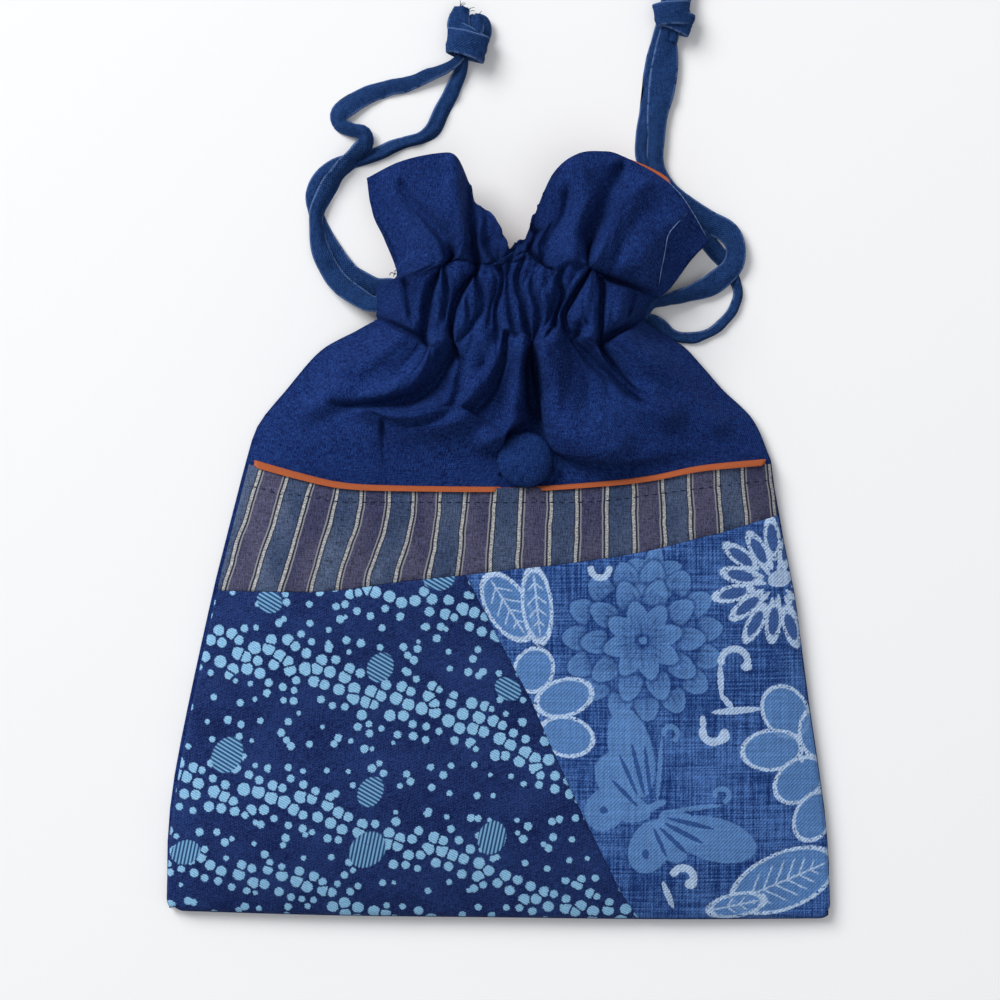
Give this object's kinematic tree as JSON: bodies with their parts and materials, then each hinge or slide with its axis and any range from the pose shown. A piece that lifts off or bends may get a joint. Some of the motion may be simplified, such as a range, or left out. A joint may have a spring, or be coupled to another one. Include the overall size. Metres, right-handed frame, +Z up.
{
  "type": "kinchaku drawstring pouch",
  "caption": "Gathered linen drawstring pouch lying flat, with a patchwork front pocket, a covered button and knotted flat ties.",
  "frame": {"origin": "on the table, under the middle of the pouch without its ties", "axes": "+Y towards the mouth, +Z up from the back panel to the pocket, +X to the right as seen from above"},
  "size_m": [0.2188, 0.3107, 0.0233],
  "materials": {
    "navy_linen": "plain-woven linen, matt",
    "orange_cotton": "plain cotton, matt",
    "striped_cotton": "woven stripes, matt",
    "dotted_indigo_cotton": "dotted print, matt",
    "flowered_blue_cotton": "flower print, matt",
    "tie_linen": "plain-woven linen, matt",
    "button_steel": "pressed sheet"
  },
  "bodies": {
    "root": {"front_panel": "navy_linen", "back_panel": "navy_linen", "lining_front": "orange_cotton", "lining_back": "orange_cotton", "pocket_lining": "orange_cotton", "pocket_stripe_band": "striped_cotton", "pocket_dot_patch": "dotted_indigo_cotton", "pocket_floral_patch": "flowered_blue_cotton", "button_cover": "navy_linen", "button_shell": "button_steel", "button_back": "button_steel", "drawstring_left": "tie_linen", "drawstring_right": "tie_linen", "knot_left": "tie_linen", "knot_right": "tie_linen"}
  },
  "joints": []
}
